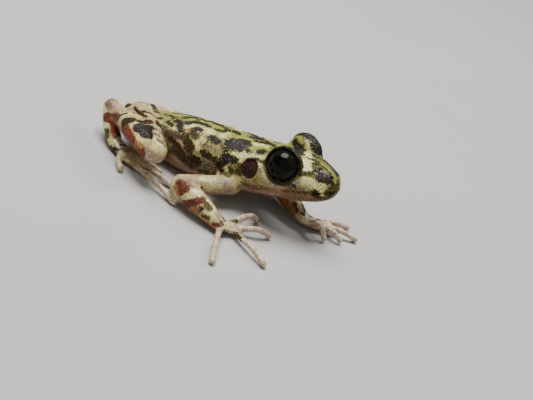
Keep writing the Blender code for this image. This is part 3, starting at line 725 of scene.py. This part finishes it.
def ear_ring(surface, rows, side):
    """How far each place is from the eardrum's middle, where 1 is its edge."""
    local = head_rows(rows) - np.array(in_head_frame(beside_head(surface, side, *EAR)))
    return np.sqrt(local[:, 0] ** 2 + (local[:, 2] / EAR_TALL) ** 2 + local[:, 1] ** 2) / EAR_R


def beside_face(here, side):
    """1 on one side of the head, falling to 0 towards its middle."""
    return ease(here[:, 1] * SIDES[side], 2.5, 3.5)


def refine_face(skin):
    """A finer mesh round the lips and nostrils."""
    surface = surface_of(skin)
    rows = coords(skin)
    close = path_distance(rows, mouth_path(surface))[0] < LIP_NEAR
    for side in SIDES:
        close |= path_distance(rows, [beside_head(surface, side, *NOSTRIL)])[0] < NOSTRIL_NEAR
    subdivide_where(skin, close.tolist())


def shape_face(skin):
    """Lips, nostrils and eardrums."""
    surface = surface_of(skin)
    rows, out = coords(skin), normals(skin)
    here = head_rows(rows)
    gap, along = path_distance(rows, mouth_path(surface))
    corner = np.abs(2 * along - 1)
    groove = MOUTH_DEEP * (1 - 0.6 * corner**6) * hump(gap, 0.11)
    move = LIP_SWELL * hump(gap - 0.4, 0.2) * (1 - corner**8) - groove
    for side in SIDES:
        hole = path_distance(rows, [beside_head(surface, side, *NOSTRIL)])[0]
        move += -NOSTRIL_DEEP * hump(hole, 0.2) + NOSTRIL_RIM * hump(hole - 0.42, 0.16)
        ring = ear_ring(surface, rows, side)
        drum = -EAR_SUNK * (1 - ease(ring, 0.75, 1.0)) + EAR_RIM * hump(ring - 1.1, 0.12)
        move += beside_face(here, side) * drum
        move += beside_face(here, side) * EAR_KNOB * hump(ring, 0.25)
    set_coords(skin, rows + out * move[:, None])


def fold_paths(surface):
    """The folds and creases of the skin, with those of the head on both its sides."""
    paths = []
    for height, width, *path in FOLDS:
        path = [Vector(p) + SHIFT for p in path]
        paths.append((height, width, path))
        if on_head(path) and min(right_of_midline(p) for p in path) > FOLD_FELLOW_FROM:
            paths.append((height, width, [surface.find_nearest(other_side(p))[0] for p in path]))
    return paths


def fold_skin(skin):
    """Raises the folds and sinks the creases, on a mesh that is made finer for them."""
    paths = fold_paths(surface_of(skin))
    rows = coords(skin)
    close = np.zeros(len(rows), bool)
    for height, width, path in paths:
        close |= path_distance(rows, path)[0] < 2.2 * width
    subdivide_where(skin, close.tolist())
    rows, out = coords(skin), normals(skin)
    move = np.zeros(len(rows))
    for height, width, path in paths:
        gap, along = path_distance(rows, path)
        move += height * hump(gap, width) * (0.35 + 0.65 * np.sin(math.pi * np.clip(along, 0, 1)))
    set_coords(skin, rows + out * move[:, None])


def warts(skin):
    """Low warts on the upper skin, away from the eyes, and soft ripples all over."""
    rows, out = coords(skin), normals(skin)
    keep = 1 - np.minimum(1, sum(hump(path_distance(rows, [eye])[0], 3.2) for eye in EYES.values()))
    upper = ease(out[:, 2], -0.3, 0.4) * keep
    move = np.zeros(len(rows))
    for k, place in enumerate(rows):
        if upper[k] > 0.02:
            near, points = noise.voronoi(place * WARTS_PER_MM)[:2]
            size = 0.5 + 0.5 * noise.cell(points[0] * 7.3)
            move[k] += WART_HIGH * upper[k] * size * max(0.0, 1 - (near[0] / WART_WIDE) ** 2) ** 2
        move[k] += sum(height * noise.noise(place * many) for height, many in RIPPLES)
    set_coords(skin, rows + out * move[:, None])


def knuckles(rows, names):
    """1 at the joints of the fingers and toes, and falling to 0 between them."""
    found = np.zeros(len(rows))
    for name in names:
        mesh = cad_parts[name].data
        node = np.array([v.co for v in mesh.vertices]) / MM
        middle = node.mean(axis=0)
        axis = np.linalg.svd(node - middle, full_matrices=False)[2][0]
        reach = (node - middle) @ axis
        near = np.all((rows > node.min(axis=0) - 0.25) & (rows < node.max(axis=0) + 0.25), axis=1)
        share = ((rows[near] - middle) @ axis - reach.min()) / (reach.max() - reach.min())
        here = sum(hump(share - place, JOINT_LONG) for place in DIGIT_JOINTS)
        found[near] = np.maximum(found[near], here)
    return found


def shape_digits(skin, flesh):
    rows, out = coords(skin), normals(skin)
    swell = knuckles(rows, named(flesh, "finger", "toe"))
    set_coords(skin, rows + out * (JOINT_SWELL * swell)[:, None])


# The skin's markings

def segment_frame(segment, side):
    """A limb segment's two ends, the way to its outer side and the way over its top."""
    start, end = (Vector(dict(zip(SIDES, JOINTS[joint]))[side]) + SHIFT for joint in SEGMENTS[segment])
    along = (end - start).normalized()
    out = along.cross(Vector((0, 0, 1))).normalized() * -SIDES[side]
    rise = out.cross(along).normalized()
    if rise.z < 0:
        rise = -rise
    return start, end, out, rise


def on_limb(surface, segment, side, share, turn):
    """The point of the skin so far along a limb's segment and so far round it."""
    start, end, out, rise = segment_frame(segment, side)
    angle = math.radians(turn)
    hit = surface.ray_cast(start.lerp(end, share), out * math.cos(angle) + rise * math.sin(angle), 4.0)[0]
    return hit or start.lerp(end, share)


def other_side(p):
    """The place that faces p on the other side of the trunk."""
    here = in_head_frame(p)
    if here.x > HEAD_FROM:
        return head_point(here.x, -here.y, here.z)
    return Vector((p[0], 2 * SHIFT.y - p[1], p[2]))


def right_of_midline(p):
    """How far a place is to the right of the trunk's or the head's midline."""
    here = in_head_frame(p)
    return -here.y if here.x > HEAD_FROM else SHIFT.y - p[1]


def mark_field(rows, surface, kind):
    """How far each place is outside the nearest mark of a kind, and below nought within one."""
    marks = []
    shifts = random.Random(5)
    for half, *path in MARKS[kind]:
        if path[0] in SEGMENTS:
            segment, *places = path
            for side in SIDES:
                marks.append((half, [on_limb(surface, segment, side, *place) for place in places]))
            continue
        path = [Vector(p) + SHIFT for p in path]
        marks.append((half, path))
        if min(right_of_midline(p) for p in path) > FELLOW_FROM:
            along, up = (shifts.uniform(-most, most) for most in FELLOW_MOVE)
            move = Vector() if on_head(path) else Vector((along, 0, up))
            marks.append((half, [surface.find_nearest(other_side(p) + move)[0] for p in path]))
    field = np.full(len(rows), FAR_OFF)
    for half, path in marks:
        field = np.minimum(field, path_distance(rows, path)[0] - half)
    return field


def nearness(rows, names, reach):
    """1 on the skin of some nodes, falling to 0 so far from it."""
    bm = bmesh.new()
    for name in names:
        bm.from_mesh(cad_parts[name].data)
    bmesh.ops.scale(bm, vec=(1 / MM,) * 3, verts=bm.verts)
    tree = BVHTree.FromBMesh(bm)
    bm.free()
    far = np.array([tree.find_nearest(row, reach + 0.4)[3] or reach + 0.4 for row in rows.tolist()])
    return 1 - ease(far, 0.15, reach)


def mark_skin(skin, flesh):
    """Stores on the skin where each kind of mark and each zone of colour lies."""
    rows, out = coords(skin), normals(skin)
    here, way = head_rows(rows), out @ np.array(HEAD_ROT)
    surface = surface_of(skin)
    for kind in MARK_LOOKS:
        add_attribute(skin, "mark_" + kind, mark_field(rows, surface, kind))
    limbs = named(flesh, "upper_arm", "forearm", "thigh", "shank", "tarsus")
    head, torso = (nearness(rows, [node], 0.8) for node in ("head", "torso"))
    lips = sorted(tuple(in_head_frame(p).xz) for p in mouth_path(surface))
    level = np.interp(here[:, 0], *zip(*lips))
    jaw = ease(here[:, 0], -5.5, -3.0) * ease(level - here[:, 2], 0.0, 0.25) * ease(way[:, 2], 0.2, -0.2)
    trunk = np.maximum(torso, head * ease(-here[:, 0], 4.0, 7.0))
    lid, rim, ear = (np.zeros(len(rows)) for _ in range(3))
    for side in SIDES:
        away = rows - np.array(EYES[side])
        far = np.linalg.norm(away, axis=1)
        outward = away @ np.array(eye_axis(side))
        up = ease(away @ np.array(head_dir((0.25, 0, 1))), -0.5, 1.5)
        lid += (1 - ease(far, 2.74 + 0.5 * up, 2.9 + 0.6 * up)) * ease(outward, -1.1, -0.3)
        rim += hump(far - 2.98, 0.14) * ease(outward, -0.6, 0.0) * (1 - up)
        ear += beside_face(here, side) * (1 - ease(ear_ring(surface, rows, side), 0.9, 1.06))
    zones = {
        "limb": nearness(rows, limbs, 1.0),
        "digit": nearness(rows, named(flesh, "hand", "foot", "finger", "toe"), 0.8),
        "knuckle": knuckles(rows, named(flesh, "finger", "toe")) * ease(out[:, 2], -0.2, 0.5),
        "under": ease(-out[:, 2], 0.0, 0.75),
        "back": ease(out[:, 2], 0.45, 0.95),
        "jaw": jaw * head,
        "crown": head * ease(way[:, 2], 0.1, 0.7) * ease(here[:, 0], -4.0, 1.0),
        # the flanks that face sideways and down: partly their own brown, partly painted shade
        "flank_brown_and_shade": trunk * ease(-out[:, 2], -0.3, 0.1),
        "lid": np.clip(lid, 0, 1),
        "rim": np.clip(rim, 0, 1),
        "ear": np.clip(ear, 0, 1),
    }
    for name, zone in zones.items():
        add_attribute(skin, "zone_" + name, zone)


# Finishes

class Wire:
    """A socket that takes sums as Python does."""

    def __init__(self, paint, socket):
        self.paint, self.socket = paint, socket

    def math(self, operation, first, second):
        return self.paint.node("ShaderNodeMath", {"operation": operation}, {0: first, 1: second})

    def __add__(self, other):
        return self.math("ADD", self, other)

    __radd__ = __add__

    def __sub__(self, other):
        return self.math("SUBTRACT", self, other)

    def __rsub__(self, other):
        return self.math("SUBTRACT", other, self)

    def __mul__(self, other):
        return self.math("MULTIPLY", self, other)

    __rmul__ = __mul__

    def __pow__(self, other):
        return self.math("POWER", self, other)


class Paint:
    """One material and its nodes."""

    def __init__(self, name, **constants):
        self.material = bpy.data.materials.new(name)
        self.material.use_nodes = True
        self.tree = self.material.node_tree
        self.shader = self.tree.nodes["Principled BSDF"]
        for key, value in constants.items():
            self.shader.inputs[key.replace("_", " ").title().replace("Ior", "IOR")].default_value = value
        place = self.node("ShaderNodeTexCoord", output="Object")
        self.place = self.node("ShaderNodeMapping", {}, {"Vector": place, "Scale": (1 / MM,) * 3})

    def node(self, kind, settings=None, inputs=None, output=0):
        made = self.tree.nodes.new(kind)
        for key, value in (settings or {}).items():
            setattr(made, key, value)
        for key, value in (inputs or {}).items():
            if isinstance(value, Wire):
                self.tree.links.new(value.socket, made.inputs[key])
            else:
                made.inputs[key].default_value = value
        return Wire(self, made.outputs[output])

    def set(self, name, wire):
        self.tree.links.new(wire.socket, self.shader.inputs[name])

    def stored(self, name):
        return self.node("ShaderNodeAttribute", {"attribute_name": name}, output="Fac")

    def noise(self, scale, detail=2.0):
        """Soft cloudy unevenness, so many to a millimetre."""
        return self.node("ShaderNodeTexNoise", {}, {"Vector": self.place, "Scale": scale, "Detail": detail})

    def cells(self, scale, output="Distance"):
        """Granules, so many to a millimetre: the distance from each one's middle, or its own colour."""
        return self.node("ShaderNodeTexVoronoi", {}, {"Vector": self.place, "Scale": scale}, output)

    def step(self, value, low, high):
        """0 below low, 1 above high and a smooth step between them."""
        return self.node("ShaderNodeMapRange", {"interpolation_type": "SMOOTHSTEP"}, {
            "Value": value, "From Min": low, "From Max": high,
        })

    def mix(self, factor, below, above):
        """One colour turning into another as the factor rises from 0 to 1."""
        below, above = ((*c, 1) if isinstance(c, tuple) else c for c in (below, above))
        return self.node("ShaderNodeMix", {"data_type": "RGBA"}, {0: factor, 6: below, 7: above}, 2)

    def scale(self, color, factor):
        """A colour made brighter or darker."""
        return self.node("ShaderNodeVectorMath", {"operation": "SCALE"}, {0: color, "Scale": factor})

    def bump(self, height, distance):
        self.set("Normal", self.node("ShaderNodeBump", {}, {"Height": height, "Distance": distance}))


CREAM = (0.41, 0.352, 0.13)
CREAM_SHADE = (0.3, 0.25, 0.085)
# Each zone over those before it: how much it covers and its colour.
ZONE_COLORS = (
    ("back", 0.6, (0.27, 0.28, 0.05)),
    ("crown", 1, (0.15, 0.155, 0.026)),
    ("limb", 1, (0.56, 0.43, 0.2)),
    ("digit", 1, (0.7, 0.56, 0.37)),
    ("knuckle", 0.6, (0.42, 0.27, 0.17)),
    # partly the flanks' own brown, partly painted shade where they face sideways and down
    ("flank_brown_and_shade", 0.9, (0.075, 0.042, 0.02)),
    ("under", 1, (0.46, 0.29, 0.21)),
    ("jaw", 0.8, (0.165, 0.092, 0.042)),
)
LID_BLACK = (0.01, 0.011, 0.006)
LID_FLECK = (0.075, 0.085, 0.045)
LID_EDGE = (0.07, 0.05, 0.024)
EAR_BROWN = (0.03, 0.01, 0.007)
EAR_LIGHT = (0.055, 0.02, 0.013)
# Each kind of mark over those before it: how far its edge fades, whether it dulls the wet gloss, the colour
# of most of it and the colour of its lighter granules.
MARK_LOOKS = {
    "rose": (0.3, 0, (0.36, 0.175, 0.11), (0.5, 0.31, 0.22)),
    "blush": (0.35, 0, (0.44, 0.285, 0.165), (0.6, 0.43, 0.27)),
    # cream, and along the upper arms a painted highlight
    "pale_and_highlight": (0.35, 0, (0.9, 0.83, 0.36), (0.72, 0.64, 0.24)),
    # painted shade, over some of the low flanks' own brown
    "umber_and_shade": (0.4, 1, (0.055, 0.03, 0.013), (0.085, 0.05, 0.025)),
    "net": (0.2, 1, (0.14, 0.105, 0.055), (0.29, 0.23, 0.145)),
    "tan": (0.35, 1, (0.17, 0.09, 0.042), (0.28, 0.165, 0.09)),
    "red": (0.14, 1, (0.16, 0.024, 0.014), (0.27, 0.07, 0.04)),
    "maroon": (0.14, 1, (0.12, 0.024, 0.012), (0.2, 0.065, 0.035)),
    "olive": (0.14, 1, (0.058, 0.046, 0.007), (0.12, 0.1, 0.024)),
    "brown": (0.14, 1, (0.02, 0.01, 0.002), (0.06, 0.036, 0.009)),
    "orange": (0.22, 1, (0.33, 0.13, 0.032), (0.44, 0.24, 0.085)),
    # painted sheen, pale lilac
    "lilac_sheen": (0.3, 0, (0.24, 0.2, 0.21), (0.52, 0.48, 0.48)),
    "dark": (0.14, 1, (0.006, 0.005, 0.002), (0.036, 0.03, 0.012)),
    # dark blotches, with painted violet glints of sheen as their lighter granules
    "dark_with_violet_glints": (0.14, 1, (0.014, 0.008, 0.007), (0.2, 0.145, 0.165)),
    "green": (0.25, 0, (0.3, 0.33, 0.03), (0.38, 0.38, 0.09)),
}
GRANULES = 4.4  # to a millimetre, and the finer ones between them
FINE_GRANULES = 6.5
GRANULE_BUMP = 0.05 * MM


def skin_material():
    """Granular skin: zones of colour and the marks over them, among them painted shade and sheen; each
    granule lighter or darker.
    """
    paint = Paint(
        "toad_skin", coat_roughness=0.15, specular_ior_level=0.14,
        subsurface_weight=0.05, subsurface_scale=0.0002,
    )
    coarse = paint.noise(0.8)
    fine = paint.noise(3.4, 3.0)
    grain = paint.cells(GRANULES)
    tint = paint.cells(GRANULES, "Color")
    chance, luck = (paint.node("ShaderNodeSeparateColor", {}, {"Color": tint}, k) for k in range(2))
    dots = paint.cells(FINE_GRANULES)
    shade = paint.step(grain, 0.16, 0.55)
    # painted glints: sparse fine specks, used only in the dark violet blotches
    glint_speck = (1 - paint.step(dots, 0.25, 0.55)) * paint.step(chance, 0.25, 0.6)
    color = paint.mix(paint.step(coarse, 0.35, 0.65), CREAM, CREAM_SHADE)
    for zone, cover, tone in ZONE_COLORS:
        color = paint.mix(paint.stored("zone_" + zone) * cover, color, tone)
    # single granules fall out of a mark's edge and lie beside it
    stray = (paint.step(luck, 0.1, 0.02) - paint.step(luck, 0.88, 0.96)) * 0.32
    ragged = 1 - paint.stored("zone_limb") * 0.75
    uneven = (fine - 0.5) * 0.6 + ((chance - 0.5) * 0.28 + stray) * ragged
    gloss = 1
    for kind, (soft, dulls, deep, light) in MARK_LOOKS.items():
        inside = 1 - paint.step(paint.stored("mark_" + kind) + uneven, -soft, soft)
        # the dark violet blotches' lighter granules are painted glints of sheen
        lighter = glint_speck if kind == "dark_with_violet_glints" else paint.step(luck * 0.6 + fine * 0.8, 0.4, 1.0)
        color = paint.mix(inside, color, paint.mix(lighter, deep, light))
        if dulls:
            gloss = gloss * (1 - inside * 0.85)
    lid = paint.step(paint.stored("zone_lid") + uneven * 0.5, 0.4, 0.6)
    flecked = paint.step(chance, 0.6, 0.85) * paint.stored("zone_crown")
    color = paint.mix(lid, color, paint.mix(flecked, LID_BLACK, LID_FLECK))
    color = paint.mix(paint.stored("zone_rim") * 0.8, color, LID_EDGE)
    color = paint.mix(paint.stored("zone_ear"), color, paint.mix(fine, EAR_BROWN, EAR_LIGHT))
    color = paint.scale(color, (1.3 - shade * 0.66) * (0.72 + chance * 0.56))
    paint.set("Base Color", color)
    paint.set("Roughness", 0.40 + fine * 0.3)
    wet = paint.step(chance, 0.6, 0.95) * 0.5
    wet = wet + paint.stored("zone_limb") * 0.6 + paint.stored("zone_digit") * 0.4
    paint.set("Coat Weight", wet * gloss * (1 - lid))
    paint.bump((1 - shade) * 0.8 + (1 - paint.step(dots, 0.1, 0.5)) * 0.3 + fine * 0.3, GRANULE_BUMP)
    return paint.material


PUPIL = (0.0025, 0.0022, 0.002)
IRIS = (0.007, 0.0065, 0.0035)
IRIS_FLECK = (0.045, 0.042, 0.012)
IRIS_RING = (0.009, 0.010, 0.006)
PUPIL_R = 0.7  # in shares of the eye's radius
PUPIL_NARROW = 1.25  # an upright oval
FLOOR_COLORS = (0.40, 0.39, 0.37), (0.45, 0.44, 0.42)


def eye_material():
    """A nearly black eye: an upright pupil in a dark iris with fine gold-green flecks."""
    paint = Paint("eye", roughness=0.06, specular_ior_level=0.12)
    across, tall = paint.stored("across"), paint.stored("tall")
    fine = paint.noise(5.0, 3.0)
    off = (across ** 2 * PUPIL_NARROW + tall ** 2) ** 0.5
    vein = paint.cells(7.0)
    iris = paint.mix((1 - paint.step(vein, 0.05, 0.35)) * paint.step(fine, 0.45, 0.65), IRIS, IRIS_FLECK)
    iris = paint.mix(paint.step(off, 0.86, 0.97), iris, IRIS_RING)
    outside = paint.step(off + (fine - 0.5) * 0.06, PUPIL_R - 0.02, PUPIL_R + 0.02)
    paint.set("Base Color", paint.mix(outside, PUPIL, iris))
    return paint.material


def floor_material():
    paint = Paint("floor", roughness=0.75)
    paint.set("Base Color", paint.mix(paint.noise(0.02, 4.0), *FLOOR_COLORS))
    return paint.material


def build_eye(side):
    """An eyeball that knows how far each place is across and up from its pupil's middle."""
    bm = bmesh.new()
    bmesh.ops.create_uvsphere(bm, u_segments=96, v_segments=64, radius=EYE_R)
    turn = eye_axis(side).to_track_quat("Z", "Y").to_matrix().to_4x4()
    bmesh.ops.transform(bm, matrix=Matrix.Translation(EYES[side]) @ turn, verts=bm.verts)
    eyeball = from_bmesh(bm, "eyeball_" + side)
    away = coords(eyeball) - np.array(EYES[side])
    axis = np.array(eye_axis(side))
    behind = np.where(away @ axis < 0, 1.0, 0.0)
    tall = np.array(head_dir((0, 0, 1)))
    tall -= axis * (tall @ axis)
    tall /= np.linalg.norm(tall)
    add_attribute(eyeball, "across", away @ np.cross(axis, tall) / EYE_R + behind)
    add_attribute(eyeball, "tall", away @ tall / EYE_R + behind)
    return eyeball


flesh = [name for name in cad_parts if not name.startswith("eye")]
skin = build_skin(flesh)
warts(skin)
shape_digits(skin, flesh)
fold_skin(skin)
shape_lids(skin)
refine_face(skin)
shape_face(skin)
thin_out(skin, SKIN_TRIANGLES)
set_coords(skin, np.clip(coords(skin), *(np.array(corner) / MM for corner in cad_box)))
mark_skin(skin, flesh)
finish(skin, skin_material(), flesh)

eye_paint = eye_material()
for side in SIDES:
    finish(build_eye(side), eye_paint, ["eye_" + side])

# Floor, camera and light

bm = bmesh.new()
bmesh.ops.create_grid(bm, x_segments=1, y_segments=1, size=0.6)
floor = from_bmesh(bm, "floor")
floor.data.materials.append(floor_material())

# The camera looks at a place under the head, turned and rolled as in the photo.
AIM_AT = (Vector((14.53, 0, 1.8)) + SHIFT) * MM
CAMERA_TURN, CAMERA_RISE, CAMERA_ROLL = (math.radians(turn) for turn in (10.4, 27.53, 25.14))
CAMERA_FAR = 0.150
PIXELS_PER_METRE = 6000  # at the aim, in a picture 533 pixels wide
PICTURE_WIDE = 533
back = Vector((
    math.sin(CAMERA_TURN) * math.cos(CAMERA_RISE),
    -math.cos(CAMERA_TURN) * math.cos(CAMERA_RISE),
    math.sin(CAMERA_RISE),
))
level = Vector((math.cos(CAMERA_TURN), math.sin(CAMERA_TURN), 0))
plumb = back.cross(level)
right = level * math.cos(CAMERA_ROLL) + plumb * math.sin(CAMERA_ROLL)
up = -level * math.sin(CAMERA_ROLL) + plumb * math.cos(CAMERA_ROLL)
camera = new_object("camera", bpy.data.cameras.new("camera"))
turned = Matrix((right, up, back)).transposed().to_4x4()
turned.translation = AIM_AT + back * CAMERA_FAR
camera.matrix_world = turned
camera.data.sensor_width = 36
camera.data.lens = PIXELS_PER_METRE * CAMERA_FAR / PICTURE_WIDE * camera.data.sensor_width
camera.data.clip_start = 0.005
bpy.context.scene.camera = camera


def soft_light(name, at, size, power):
    lamp = bpy.data.lights.new(name, "AREA")
    lamp.shape = "DISK"
    lamp.size = size
    lamp.energy = power
    made = new_object(name, lamp)
    made.location = at
    made.rotation_mode = "QUATERNION"
    made.rotation_quaternion = (-Vector(at)).to_track_quat("-Z", "Y")


soft_light("key", (-0.14, 0.06, 0.5), 0.4, 5.6)
soft_light("side", (0.16, 0.32, 0.35), 0.16, 0.9)
soft_light("fill", (0.25, -0.45, 0.3), 1.2, 1.2)
world = bpy.data.worlds.new("studio")
bpy.context.scene.world = world
world.use_nodes = True
glow = world.node_tree.nodes["Background"].inputs
glow["Color"].default_value = (1.0, 0.97, 0.92, 1)
glow["Strength"].default_value = 0.13
